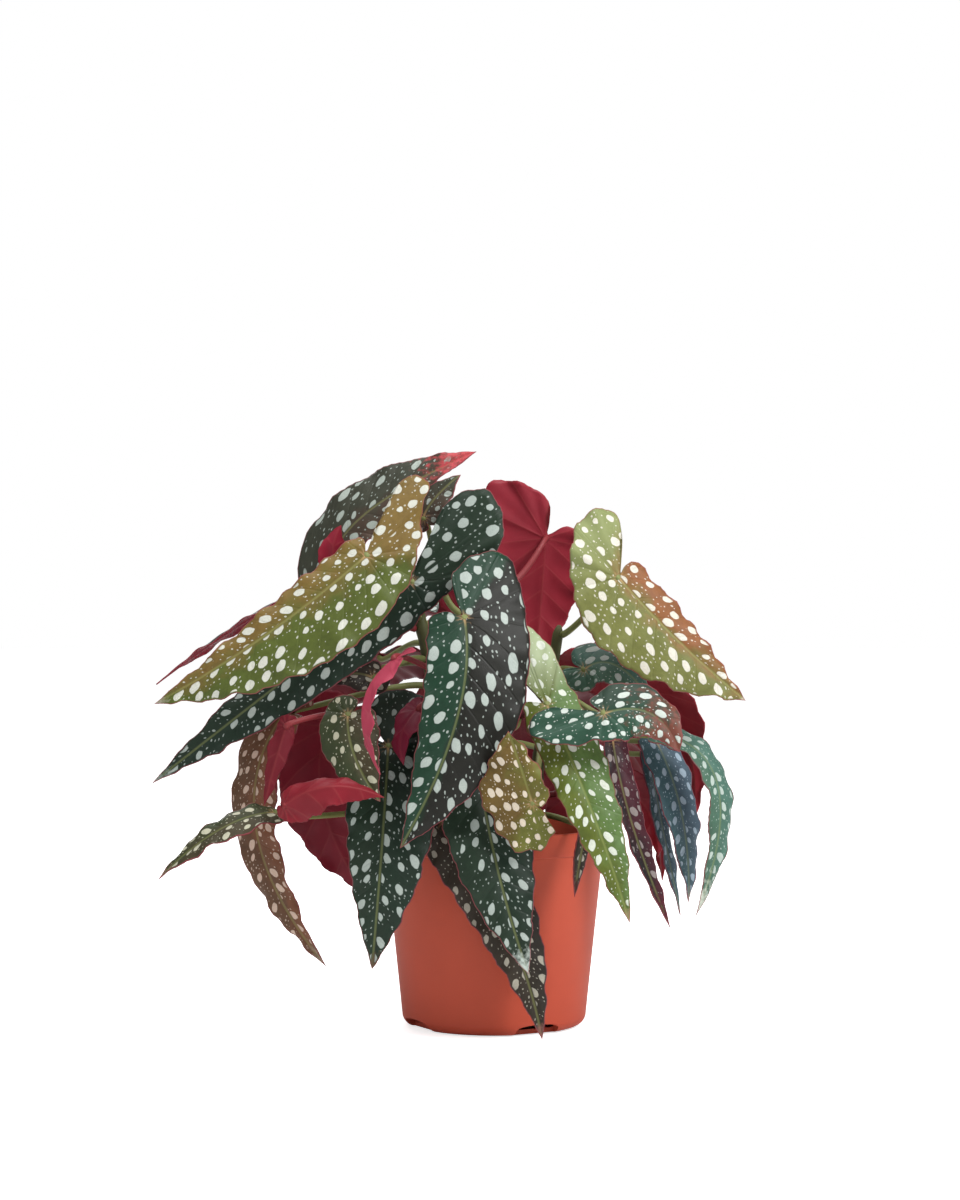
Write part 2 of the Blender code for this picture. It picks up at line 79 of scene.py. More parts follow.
# leaf (mm): cane, height on it; attach point, middle, tip of the midrib; way the upper side
# faces; side of the big lobe; half widths right, left; lobe length, shift, half width;
# small lobe; droop; lobe bend
LEAVES = {
    "leaf_front": ("cane_front", 196, (-15, -80, 216), (-19, -94, 165), (-47, -92, 102),
                   (0.1, -1, 0.2), 1, (32, 20), (36, 17, 20), 6, 0.15, 0.0),
    "leaf_long_dark": ("cane_left", 214, (-42, -50, 233), (-98, -50, 190), (-175, -45, 130),
                       (-0.1, -1, 0.3), 1, (19, 16), (60, -10, 24), 8, 0.15, 0.0),
    "leaf_olive": ("cane_left", 244, (-64, -80, 246), (-116, -87, 205), (-170, -80, 172),
                   (-0.1, -1, 0.3), 1, (30, 13), (50, -12, 12), 6, 0.15, 0.0),
    "leaf_upper_right": ("cane_right", 205, (63, -52, 235), (93, -60, 203), (127, -58, 173),
                         (0.2, -1, 0.3), -1, (14, 30), (38, 12, 20), 5, 0.15, 0.0),
    "leaf_left_tip": ("cane_left", 208, (-95, -30, 229), (-126, -34, 214), (-173, -40, 181),
                      (-0.2, 0.2, 1), 1, (10, 12), (18, 0, 8), 5, 0.2, 0.0),
    "leaf_top_left": ("cane_left", 224, (-82, -6, 234), (-73, -16, 264), (-11, -24, 300),
                      (-0.4, -0.9, 0.4), 1, (24, 14), (22, 0, 15), 6, 0.2, 0.0),
    "leaf_behind_crown": ("cane_front", 216, (-36, -26, 266), (-30, -28, 276), (-17, -28, 288),
                          (-0.4, -1, 0.4), 1, (8, 9), (8, 0, 6), 4, 0.2, 0.0),
    "leaf_red_back": ("cane_back", 230, (28, 46, 256), (25, 50, 216), (22, 46, 184),
                      (0, 1, 0.1), 1, (36, 20), (31, 22, 21), 9, 0.15, 0.0),
    "leaf_red_right": ("cane_right", 182, (52, 14, 190), (96, 24, 165), (108, 18, 108),
                       (0.6, 0.8, 0.5), 1, (22, 20), (20, 0, 14), 8, 0.15, 0.0),
    "leaf_red_low_right": ("cane_right", 120, (66, 0, 128), (82, 4, 110), (86, 2, 88),
                           (0.3, 1, 0.2), 1, (11, 11), (12, 0, 8), 3, 0.1, 0.0),
    "leaf_arching_right": ("cane_right", 176, (54, -95, 169), (77, -97, 169), (91, -100, 150),
                           (-0.1, -1, 0.6), -1, (15, 16), (38, 6, 13), 6, 0.15, 0.0),
    "leaf_bright": ("cane_right", 164, (26, -72, 172), (48, -94, 120), (67, -90, 64),
                    (0.1, -1, 0.3), 1, (17, 14), (42, 0, 14), 6, 0.15, 12.0),
    "leaf_teal_back": ("cane_right", 186, (46, -34, 188), (62, -38, 190), (80, -40, 172),
                       (0.1, -0.8, 0.7), -1, (15, 13), (14, 2, 10), 6, 0.15, 0.0),
    "leaf_blue": ("cane_right", 150, (84, -20, 150), (97, -26, 112), (101, -20, 66),
                  (0.6, -0.8, 0.2), 1, (13, 12), (14, 0, 9), 5, 0.1, 0.0),
    "leaf_arc_right": ("cane_right", 160, (84, -38, 156), (115, -44, 128), (104, -42, 62),
                       (0.5, -0.6, 0.7), 1, (10, 9), (14, 0, 9), 4, 0.1, 0.0),
    "leaf_teal_strip": ("cane_right", 140, (80, -8, 142), (88, -12, 100), (97, -8, 58),
                        (0.9, -0.6, 0.1), 1, (8, 8), (12, 0, 7), 5, 0.1, 0.0),
    "leaf_maroon": ("cane_right", 152, (60, -42, 152), (70, -50, 108), (90, -40, 55),
                    (0.5, -0.9, 0.2), 1, (9, 6), (14, 0, 10), 5, 0.1, 0.0),
    "leaf_ruffled": ("cane_right", 146, (18, -96, 124), (12, -99, 143), (6, -101, 160),
                     (-0.2, -1, 0.2), 1, (24, 9), (24, 5, 15), 7, 0.1, 0.0),
    "leaf_hanging_left": ("cane_left", 150, (-54, -58, 150), (-57, -76, 96), (-62, -68, 38),
                          (-0.1, -1, 0.2), 1, (26, 20), (33, 4, 20), 7, 0.12, 0.0),
    "leaf_left_small": ("cane_left", 160, (-74, -64, 166), (-70, -76, 146), (-57, -84, 124),
                        (-0.2, -1, 0.3), -1, (15, 15), (12, -2, 10), 5, 0.12, 0.0),
    "leaf_red_curl": ("cane_left", 128, (-104, -84, 122), (-81, -92, 132), (-54, -97, 127),
                      (-0.2, 0.8, -0.6), 1, (11, 9), (6, 0, 5), 2, -0.7, 0.0),
    "leaf_red_hanging": ("cane_left", 158, (-88, -8, 156), (-90, -14, 116), (-68, -16, 70),
                         (0.1, 1, 0.1), 1, (22, 25), (20, 0, 15), 6, 0.1, 0.0),
    "leaf_dark_fold": ("cane_left", 192, (-62, -38, 184), (-74, -42, 186), (-86, -44, 180),
                       (-0.2, -1, 0.4), 1, (9, 9), (10, 0, 7), 4, 0.15, 0.0),
    "leaf_far_left": ("cane_left", 178, (-108, -34, 166), (-122, -41, 106), (-86, -44, 36),
                      (-0.5, -0.9, 0.2), -1, (13, 14), (16, 4, 13), 5, 0.1, 0.0),
    "leaf_crimson_fold": ("cane_left", 168, (-105, -58, 160), (-111, -60, 140), (-116, -62, 120),
                          (0.2, 1, 0), 1, (6, 5), (6, 0, 5), 3, -0.7, 0.0),
    "leaf_left_low_tip": ("cane_left", 114, (-111, -59, 117), (-138, -70, 109), (-169, -66, 84),
                          (-0.2, -0.6, 0.8), 1, (10, 9), (12, 0, 8), 4, 0.15, 0.0),
    "leaf_pink_curl": ("cane_front", 176, (-50, -84, 194), (-65, -92, 170), (-56, -96, 138),
                       (0.9, 0.3, 0), 1, (9, 9), (12, 0, 8), 4, -0.5, 0.0),
    "leaf_crimson_inner": ("cane_front", 160, (-38, -60, 168), (-46, -68, 156), (-45, -70, 141),
                           (0.6, 0.8, 0), 1, (8, 8), (10, 0, 7), 4, 0.1, 0.0),
    "leaf_hanging_middle": ("cane_front", 138, (-8, -66, 138), (2, -84, 88), (17, -87, 38),
                            (0.1, -1, 0.2), -1, (22, 22), (16, 0, 13), 6, 0.1, 0.0),
    "leaf_lowest": ("cane_front", 128, (-26, -64, 112), (6, -70, 60), (24, -73, 3),
                    (0.1, -1, 0.1), 1, (20, 17), (12, 0, 10), 5, 0.1, 0.0),
    "leaf_withered": ("cane_right", 110, (46, -62, 108), (42, -66, 90), (40, -66, 74),
                      (0.4, -1, 0), 1, (4, 4), (6, 0, 4), 3, 0.1, 0.0),
    "leaf_back_high": ("cane_back", 226, (-34, 64, 222), (-58, 88, 214), (-84, 104, 172),
                       (-0.4, 0.6, 0.8), 1, (24, 22), (24, 2, 15), 8, 0.15, 0.0),
    "leaf_back_right": ("cane_back", 180, (50, 68, 176), (72, 92, 160), (88, 100, 114),
                        (0.4, 0.7, 0.7), -1, (22, 22), (20, -2, 14), 8, 0.15, 0.0),
    "leaf_back_middle": ("cane_back", 150, (14, 84, 156), (16, 108, 130), (12, 112, 76),
                         (0, 1, 0.4), 1, (25, 24), (24, 4, 15), 8, 0.15, 0.0),
    "leaf_back_left": ("cane_left", 200, (-62, 52, 192), (-96, 80, 168), (-112, 88, 108),
                       (-0.5, 0.8, 0.4), -1, (24, 25), (34, -4, 15), 8, 0.15, 0.0),
    "leaf_back_low": ("cane_back", 150, (-30, 66, 156), (-43, 84, 108), (-46, 82, 50),
                      (-0.3, 1, 0.2), 1, (23, 22), (28, 2, 18), 7, 0.12, 0.0),
    "leaf_back_low_right": ("cane_back", 146, (38, 64, 140), (46, 84, 102), (42, 86, 50),
                            (0.4, 1, 0.2), -1, (19, 19), (20, -2, 13), 7, 0.12, 0.0),
    "leaf_side_left": ("cane_left", 190, (-84, 22, 184), (-114, 28, 150), (-122, 30, 90),
                       (-0.9, 0.2, 0.4), 1, (20, 18), (28, 4, 14), 7, 0.12, 0.0),
    "leaf_side_right": ("cane_right", 158, (62, 34, 150), (84, 46, 124), (92, 50, 70),
                        (0.8, 0.5, 0.3), 1, (18, 17), (22, 4, 13), 7, 0.12, 0.0),
    "leaf_crown_red": ("cane_left", 236, (-80, -42, 238), (-82, -45, 250), (-78, -45, 262),
                       (0, 1, 0.1), 1, (8, 8), (6, 0, 5), 3, 0.2, 0.0),
    "leaf_inner_left": ("cane_left", 210, (-17, 31, 212), (-20, 34, 172), (-17, 31, 124),
                        (0, 1, 0.1), 1, (15, 16), (18, 2, 13), 7, 0.12, 0.0),
}

# half width at each station along the midrib
STATIONS = ((0.12, 1.0), (0.36, 0.96), (0.61, 0.72), (0.84, 0.33))

# tone: upper side right of the midrib, left of it, dots, underside, roughness, and how far
# one side blends into the other (mm)
# the two sides' colours are partly each leaf's own and partly painted light and shade: on the
# emerald tone the left half is a painted lit green and the right half is painted near black as
# shade
TONES = {
    "emerald": ("#171712", "#133121", "#aeb8b1", "#741a28", 0.42, 2.0),
    "deep": ("#14251a", "#19291c", "#aab5ae", "#741a28", 0.44, 6.0),
    "olive": ("#48521f", "#6b5628", "#cfd0c4", "#84202f", 0.46, 7.0),
    "sunlit": ("#7c4e2c", "#696c39", "#dedacc", "#94303c", 0.46, 6.0),
    "grey_green": ("#33352a", "#43342a", "#a9b3aa", "#a03c44", 0.46, 6.0),
    "bright": ("#526b39", "#545f21", "#d8decf", "#8a3034", 0.42, 5.0),
    "teal": ("#22362a", "#264636", "#cbd4cc", "#8e2632", 0.42, 6.0),
    "slate": ("#42535f", "#3c565c", "#9fb2c0", "#5a2840", 0.42, 4.0),
    "seaglass": ("#45665a", "#41604f", "#b7c6bd", "#6a3840", 0.42, 4.0),
    "maroon": ("#3a121d", "#191416", "#8d8380", "#641426", 0.46, 4.0),
    "young": ("#5e4a20", "#5c5e24", "#ddd0bc", "#84282f", 0.46, 6.0),
    "brown": ("#6a4430", "#583e2c", "#cdb4a2", "#6e1e2a", 0.46, 5.0),
    "moss": ("#3b3422", "#303820", "#c2c0a8", "#80202e", 0.46, 5.0),
    "umber": ("#26211b", "#2e271e", "#aba798", "#5e1e2a", 0.44, 5.0),
}

# leaf: tone, dot spacing (mm), ruffle (mm), share of the length with an aged tip, its colour
LOOKS = {
    "leaf_front": ("emerald", 12.2, 1.3, 0.04, "#59583f"),
    "leaf_long_dark": ("deep", 12.0, 1.5, 0.10, "#6f7a72"),
    "leaf_olive": ("olive", 10.0, 2.0, 0.07, "#8d8a78"),
    "leaf_upper_right": ("sunlit", 10.0, 2.0, 0.05, "#a39a86"),
    "leaf_left_tip": ("umber", 9.0, 1.0, 0.02, "#59583f"),
    "leaf_top_left": ("grey_green", 11.0, 1.6, 0.34, "#b04348"),
    "leaf_behind_crown": ("grey_green", 8.0, 1.0, 0.05, "#59583f"),
    "leaf_red_back": ("deep", 11.0, 1.8, 0.03, "#59583f"),
    "leaf_red_right": ("deep", 10.0, 1.6, 0.03, "#59583f"),
    "leaf_red_low_right": ("deep", 9.0, 1.2, 0.03, "#59583f"),
    "leaf_arching_right": ("teal", 8.5, 1.6, 0.95, "#6a3c30"),
    "leaf_bright": ("bright", 9.5, 1.6, 0.10, "#8a7a58"),
    "leaf_teal_back": ("seaglass", 8.5, 1.3, 0.05, "#6f7a62"),
    "leaf_blue": ("slate", 8.0, 1.2, 0.12, "#8a7a72"),
    "leaf_arc_right": ("seaglass", 8.0, 1.2, 0.26, "#b9bfb2"),
    "leaf_teal_strip": ("slate", 7.5, 1.0, 0.10, "#8a8f86"),
    "leaf_maroon": ("maroon", 9.0, 1.1, 0.30, "#4a1220"),
    "leaf_ruffled": ("young", 7.5, 2.8, 0.03, "#8a5a3a"),
    "leaf_hanging_left": ("deep", 10.5, 1.5, 0.12, "#574832"),
    "leaf_left_small": ("moss", 9.0, 1.5, 0.05, "#59583f"),
    "leaf_red_curl": ("deep", 9.0, 1.2, 0.03, "#59583f"),
    "leaf_red_hanging": ("deep", 10.0, 1.6, 0.03, "#59583f"),
    "leaf_dark_fold": ("umber", 8.0, 1.4, 0.03, "#59583f"),
    "leaf_far_left": ("brown", 8.5, 1.8, 0.12, "#8d7c6c"),
    "leaf_crimson_fold": ("deep", 8.0, 1.4, 0.03, "#59583f"),
    "leaf_left_low_tip": ("moss", 8.0, 1.3, 0.16, "#8a6a5e"),
    "leaf_pink_curl": ("umber", 8.0, 1.6, 0.03, "#59583f"),
    "leaf_crimson_inner": ("umber", 8.0, 1.2, 0.03, "#59583f"),
    "leaf_hanging_middle": ("deep", 10.5, 1.5, 0.16, "#a9b4ac"),
    "leaf_lowest": ("umber", 9.5, 1.5, 0.10, "#80564e"),
    "leaf_withered": ("umber", 8.0, 0.8, 0.60, "#3a2018"),
    "leaf_back_high": ("deep", 11.0, 1.6, 0.05, "#6f6a52"),
    "leaf_back_right": ("emerald", 11.0, 1.6, 0.05, "#6f6a52"),
    "leaf_back_middle": ("emerald", 11.5, 1.5, 0.06, "#6f6a52"),
    "leaf_back_left": ("deep", 10.5, 1.6, 0.06, "#6f6a52"),
    "leaf_back_low": ("grey_green", 10.0, 1.5, 0.10, "#7a6450"),
    "leaf_back_low_right": ("deep", 10.0, 1.5, 0.08, "#6f6a52"),
    "leaf_crown_red": ("deep", 8.0, 1.2, 0.03, "#59583f"),
    "leaf_inner_left": ("deep", 10.0, 1.5, 0.04, "#59583f"),
    "leaf_side_left": ("grey_green", 10.5, 1.5, 0.06, "#6f6a52"),
    "leaf_side_right": ("teal", 9.5, 1.5, 0.06, "#6f6a52"),
}

# aged tip colours that carry no dots
BARE_TIPS = ("#b04348", "#b9bfb2", "#4a1220")

# tones whose big lobe is paler than the blade
LOBE_TINTS = {"bright": "#a3b08c", "sunlit": "#808959"}

# leaves whose underside isn't the tone's own
UNDERSIDES = {
    "leaf_left_tip": "#84202f", "leaf_top_left": "#a04048", "leaf_red_back": "#942634",
    "leaf_red_right": "#922a34", "leaf_red_low_right": "#8c2230", "leaf_red_curl": "#801926",
    "leaf_red_hanging": "#7c1a2a", "leaf_crimson_fold": "#701624",
    "leaf_left_low_tip": "#84202f", "leaf_pink_curl": "#a83a50",
    "leaf_crimson_inner": "#7b1030", "leaf_crown_red": "#8c1c30",
}


def linear(code):
    """A #rrggbb colour as the linear values a shader takes."""
    values = [int(code[i:i + 2], 16) / 255 for i in (1, 3, 5)]
    return tuple(c / 12.92 if c < 0.04045 else ((c + 0.055) / 1.055) ** 2.4 for c in values)


def paint(code):
    """The same with full opacity, for a colour socket."""
    return (*linear(code), 1)


# ---------------------------------------------------------------- settings

def millimetres(name, description, value):
    """A length setting whose default is given in millimetres."""
    return FloatProperty(name=name, description=description, default=value * MM,
                         unit="LENGTH")


class BegoniaLeafSettings(PropertyGroup):
    thickness: millimetres("Thickness", "Thickness of a leaf blade", 0.7)
    rows: IntProperty(name="Rows", description="Rows across each side of a leaf", default=56)
    rings: IntProperty(name="Rings", description="Steps from midrib to margin", default=14)
    quilting: millimetres("Quilting", "Rise of the blade between its veins", 0.6)
    groove: millimetres("Midrib groove", "Depth of the midrib's groove", 0.55)
    vein_spacing: millimetres("Vein spacing", "Midrib between two side veins", 14.0)
    teeth: millimetres("Teeth", "Size of the teeth along the margin", 0.45)
    petiole_tip: millimetres("Petiole at leaf", "Radius at the leaf", 1.3)
    petiole_foot: millimetres("Petiole at cane", "Radius at the cane", 1.8)
    margin_colour: FloatVectorProperty(name="Margin", description="Red edge of the leaf",
                                       subtype="COLOR", default=linear("#8a4048"))
    petiole_colour: FloatVectorProperty(name="Petiole", description="Leaf stalk",
                                        subtype="COLOR", default=linear("#7f8650"))


class BegoniaPotSettings(PropertyGroup):
    rim_band: millimetres("Rim band", "Height of the band under the rim", 12.0)
    rim_step: millimetres("Rim step", "How far the band stands out", 1.3)
    wall: millimetres("Wall", "Wall thickness", 1.8)
    floor: millimetres("Floor", "Floor thickness", 2.4)
    foot_round: millimetres("Foot round", "Rounding of the foot", 6.0)
    foot_radius: millimetres("Foot radius", "Wall radius above the foot", 49.0)
    notch_width: millimetres("Notch width", "Width of a drain notch", 25.0)
    notch_height: millimetres("Notch height", "Height of a drain notch", 5.6)
    colour: FloatVectorProperty(name="Colour", description="Terracotta coloured plastic",
                                subtype="COLOR", default=linear("#b24a34"))


class BegoniaSoilSettings(PropertyGroup):
    line: millimetres("Soil line", "Height of the soil at the wall", 90.0)
    mound: millimetres("Mound", "Rise of the soil in the middle", 3.0)
    crumbs: IntProperty(name="Crumbs", description="Loose crumbs on the soil", default=260)
    colour: FloatVectorProperty(name="Colour", description="Moist potting mix",
                                subtype="COLOR", default=linear("#3a2c22"))


# ---------------------------------------------------------------- shader helpers

class Graph:
    """Short hand for adding nodes to one node tree."""

    def __init__(self, tree):
        self.tree = tree

    def add(self, kind, values=None, **settings):
        node = self.tree.nodes.new(kind)
        for key, value in settings.items():
            setattr(node, key, value)
        for key, value in (values or {}).items():
            socket = node.inputs[key]
            if isinstance(value, bpy.types.NodeSocket):
                self.tree.links.new(value, socket)
            else:
                socket.default_value = value
        return node

    def math(self, operation, a, b=0.0):
        return self.add("ShaderNodeMath", {0: a, 1: b}, operation=operation).outputs[0]

    def mix(self, factor, a, b):
        node = self.add("ShaderNodeMix", data_type="RGBA")
        for index, value in ((0, factor), (6, a), (7, b)):
            if isinstance(value, bpy.types.NodeSocket):
                self.tree.links.new(value, node.inputs[index])
            else:
                node.inputs[index].default_value = value
        return node.outputs[2]

    def step(self, value, low, high):
        return self.add("ShaderNodeMapRange", {"Value": value, "From Min": low,
                                               "From Max": high}).outputs[0]

    def noise(self, vector, scale, detail=3.0):
        return self.add("ShaderNodeTexNoise", {"Vector": vector, "Scale": scale,
                                               "Detail": detail}).outputs[0]


def new_group(name, inputs, outputs):
    group = bpy.data.node_groups.new(name, "ShaderNodeTree")
    for label, kind in inputs:
        group.interface.new_socket(name=label, in_out="INPUT", socket_type=kind)
    for label, kind in outputs:
        group.interface.new_socket(name=label, in_out="OUTPUT", socket_type=kind)
    g = Graph(group)
    return group, g, g.add("NodeGroupInput").outputs, g.add("NodeGroupOutput").inputs


def spots_group():
    """Silver dots: one large row between the veins and a scatter of tiny ones."""
    name = "begonia spots"
    if name in bpy.data.node_groups:
        return bpy.data.node_groups[name]
    group, g, inp, out = new_group(
        name, (("Map", "NodeSocketVector"), ("Clearance", "NodeSocketFloat")),
        (("Spots", "NodeSocketFloat"), ("Large", "NodeSocketFloat")))
    wobble = g.add("ShaderNodeTexNoise", {"Vector": inp["Map"], "Scale": 3.0, "Detail": 1.0})
    shift = g.add("ShaderNodeVectorMath", {0: wobble.outputs["Color"], 1: (0.5, 0.5, 0.5)},
                  operation="SUBTRACT").outputs[0]
    shift = g.add("ShaderNodeVectorMath", {0: shift, "Scale": 0.16}, operation="SCALE").outputs[0]
    place = g.add("ShaderNodeVectorMath", {0: inp["Map"], 1: shift}, operation="ADD").outputs[0]

    def dots(scale, least, spread, presence, spacing):
        """How far inside the nearest dot a place is, in cells, and where dots are."""
        cells = g.add("ShaderNodeTexVoronoi", {"Vector": place, "Scale": scale,
                                               "Randomness": spacing},
                      voronoi_dimensions="2D")
        parts = g.add("ShaderNodeSeparateColor", {0: cells.outputs["Color"]}).outputs
        radius = g.math("ADD", g.math("MULTIPLY", parts[0], spread), least)
        there = g.math("LESS_THAN", parts[1], presence)
        gap = g.math("SUBTRACT", radius, cells.outputs["Distance"])
        return gap, there

    gap, there = dots(1.0, 0.17, 0.13, 0.90, 0.55)
    large = g.math("MULTIPLY", g.step(gap, -0.012, 0.018), there)
    clear = g.math("MAXIMUM", g.math("SUBTRACT", 1.0, there), g.step(gap, -0.07, -0.13))
    gap, there = dots(3.3, 0.07, 0.12, 0.68, 0.85)
    small = g.math("MULTIPLY", g.step(gap, -0.03, 0.03), g.math("MULTIPLY", there, clear))
    room = g.step(inp["Clearance"], 0.7, 1.3)
    large = g.math("MULTIPLY", large, room)
    both = g.math("MAXIMUM", large, g.math("MULTIPLY", small, g.math("MULTIPLY", room, 0.8)))
    g.tree.links.new(both, out["Spots"])
    g.tree.links.new(large, out["Large"])
    return group


def veins_group():
    """Lines of the side veins and midrib from the stored vein map."""
    name = "begonia veins"
    if name in bpy.data.node_groups:
        return bpy.data.node_groups[name]
    group, g, inp, out = new_group(
        name, (("Veins", "NodeSocketVector"),),
        (("Line", "NodeSocketFloat"), ("Midrib", "NodeSocketFloat")))
    parts = g.add("ShaderNodeSeparateXYZ", {0: inp["Veins"]}).outputs
    near = g.math("ABSOLUTE", g.math("SUBTRACT", parts[0], g.math("ROUND", parts[0])))
    away = g.math("MULTIPLY", near, parts[1])
    side = g.step(away, 0.75, 0.1)
    middle = g.step(parts[2], 0.85, 0.25)
    g.tree.links.new(g.math("MAXIMUM", side, middle), out["Line"])
    g.tree.links.new(middle, out["Midrib"])
    return group


def grain_group():
    """Fine uneven grain and a slow drift of tone, for plastic, soil and stems."""
    name = "fine grain"
    if name in bpy.data.node_groups:
        return bpy.data.node_groups[name]
    group, g, inp, out = new_group(
        name, (("Place", "NodeSocketVector"), ("Scale", "NodeSocketFloat")),
        (("Grain", "NodeSocketFloat"), ("Drift", "NodeSocketFloat")))
    fine = g.noise(inp["Place"], inp["Scale"], 4.0)
    slow = g.noise(inp["Place"], g.math("MULTIPLY", inp["Scale"], 0.04), 2.0)
    g.tree.links.new(fine, out["Grain"])
    g.tree.links.new(slow, out["Drift"])
    return group


def new_material(name):
    mat = bpy.data.materials.new(name)
    mat.use_nodes = True
    g = Graph(mat.node_tree)
    return mat, g, mat.node_tree.nodes["Principled BSDF"]


def attribute(g, name):
    return g.add("ShaderNodeAttribute", attribute_name=name).outputs["Vector"]


def finish_shader(g, shader, colour, roughness, height, strength, distance):
    shader.inputs["Specular IOR Level"].default_value = 0.24
    bump = g.add("ShaderNodeBump", {"Strength": strength, "Distance": distance,
                                    "Height": height})
    g.tree.links.new(colour, shader.inputs["Base Color"])
    g.tree.links.new(roughness, shader.inputs["Roughness"])
    g.tree.links.new(bump.outputs[0], shader.inputs["Normal"])


def upper_material(tone, tip):
    name = "leaf upper " + tone + " " + tip[1:]
    if name in bpy.data.materials:
        return bpy.data.materials[name]
    right, left, dots, under, gloss, blend = TONES[tone]
    mat, g, shader = new_material(name)
    flat, veins, spots_map = (attribute(g, n) for n in ("leaf_flat", "leaf_veins", "leaf_dots"))
    place = g.add("ShaderNodeSeparateXYZ", {0: flat}).outputs
    extra = g.add("ShaderNodeSeparateXYZ", {0: spots_map}).outputs
    spots = g.add("ShaderNodeGroup", node_tree=spots_group())
    g.tree.links.new(spots_map, spots.inputs["Map"])
    clear = g.math("MINIMUM", place[2], g.math("ABSOLUTE", place[1]))
    g.tree.links.new(clear, spots.inputs["Clearance"])
    lines = g.add("ShaderNodeGroup", node_tree=veins_group())
    g.tree.links.new(veins, lines.inputs["Veins"])

    behind = g.math("MULTIPLY", g.math("MINIMUM", place[0], 0.0), 0.9)
    drift = g.math("MULTIPLY", g.math("SUBTRACT", g.noise(flat, 0.07), 0.5), 5.0 * blend)
    across = g.math("ADD", g.math("ADD", place[1], behind), drift)
    # painted light and shade across the midrib: one side gets the lighter tone and the other the
    # darker one, partly the leaf's own colour and partly where light falls
    ground = g.mix(g.step(across, -blend, blend), paint(left), paint(right))
    mottle = g.math("ADD", g.math("MULTIPLY", g.noise(flat, 0.4), 0.5),
                    g.math("MULTIPLY", g.noise(flat, 0.07), 0.5))
    ground = g.add("ShaderNodeHueSaturation", {
        "Color": ground, "Value": g.math("ADD", mottle, 0.52)}).outputs[0]
    if tone in LOBE_TINTS:
        lobe = g.step(place[0], -4.0, -26.0)
        ground = g.mix(g.math("MULTIPLY", lobe, 0.85), ground,
                       paint(LOBE_TINTS[tone]))
    pale = g.mix(0.5, paint(left), paint("#a9b06a"))
    ground = g.mix(g.math("MULTIPLY", lines.outputs["Midrib"], 0.38), ground, pale)
    reach = g.add("ShaderNodeVectorMath", {0: flat, 1: (1, 1, 0)}, operation="MULTIPLY")
    reach = g.add("ShaderNodeVectorMath", {0: reach.outputs[0]}, operation="LENGTH").outputs[1]
    star = g.math("MULTIPLY", g.step(reach, 5.0, 0.8), lines.outputs["Line"])
    ground = g.mix(g.math("MULTIPLY", star, 0.7), ground, paint("#b08a62"))
    aged = g.step(g.math("ADD", extra[2], g.math("MULTIPLY", g.math(
        "SUBTRACT", g.noise(flat, 0.3), 0.5), 1.6)), 0.25, 0.75)
    ground = g.mix(aged, ground, paint(tip))
    silver = g.mix(g.noise(flat, 1.3), (*[c * 0.62 for c in linear(dots)], 1),
                   paint(dots))
    shown = spots.outputs["Spots"]
    if tip in BARE_TIPS:
        shown = g.math("MULTIPLY", shown, g.math("SUBTRACT", 1.0, aged))
    ground = g.mix(shown, ground, silver)
    leaf = bpy.context.scene.begonia_leaf
    edge = g.step(place[2], 0.55, 0.2)
    ground = g.mix(g.math("MULTIPLY", edge, 0.75), ground, (*leaf.margin_colour, 1))
    rough = g.math("SUBTRACT", g.math("ADD", g.math("MULTIPLY", mottle, 0.12), gloss - 0.02),
                   g.math("MULTIPLY", spots.outputs["Spots"], 0.05))
    cells = g.noise(flat, 2.4, 5.0)
    height = g.math("ADD", g.math("MULTIPLY", lines.outputs["Line"], -0.5),
                    g.math("ADD", g.math("MULTIPLY", spots.outputs["Large"], 0.16),
                           g.math("MULTIPLY", cells, 0.35)))
    finish_shader(g, shader, ground, rough, height, 0.5, 0.0006)
    return mat


def under_material(code):
    name = "leaf under " + code[1:]
    if name in bpy.data.materials:
        return bpy.data.materials[name]
    mat, g, shader = new_material(name)
    flat, veins = attribute(g, "leaf_flat"), attribute(g, "leaf_veins")
    lines = g.add("ShaderNodeGroup", node_tree=veins_group())
    g.tree.links.new(veins, lines.inputs["Veins"])
    deep = linear(code)
    ground = g.mix(g.noise(flat, 0.05), (*[c * 0.6 for c in deep], 1),
                   (*[min(1.0, c * 1.12) for c in deep], 1))
    ground = g.mix(g.math("MULTIPLY", g.noise(flat, 0.5), 0.3), ground,
                   (*[c * 0.7 for c in deep], 1))
    ground = g.mix(g.math("MULTIPLY", lines.outputs["Line"], 0.05), ground,
                   paint("#c87868"))
    height = g.math("ADD", g.math("MULTIPLY", lines.outputs["Line"], 0.6),
                    g.math("MULTIPLY", g.noise(flat, 2.0), 0.4))
    rough = g.math("ADD", g.math("MULTIPLY", g.noise(flat, 0.8), 0.1), 0.42)
    finish_shader(g, shader, ground, rough, height, 0.22, 0.0005)
    return mat


def plain_material(name, colour, dark, rough, scale, strength, distance):
    if name in bpy.data.materials:
        return bpy.data.materials[name]
    mat, g, shader = new_material(name)
    grain = g.add("ShaderNodeGroup", node_tree=grain_group())
    place = g.add("ShaderNodeTexCoord").outputs["Object"]
    g.tree.links.new(place, grain.inputs["Place"])
    grain.inputs["Scale"].default_value = scale
    tone = g.mix(grain.outputs["Drift"], (*[c * dark for c in colour], 1), (*colour, 1))
    tone = g.mix(g.math("MULTIPLY", grain.outputs["Grain"], 0.25), tone,
                 (*[min(1, c * 1.3) for c in colour], 1))
    roughness = g.math("ADD", g.math("MULTIPLY", grain.outputs["Grain"], 0.12), rough)
    finish_shader(g, shader, tone, roughness, grain.outputs["Grain"], strength, distance)
    return mat


# ---------------------------------------------------------------- shapes

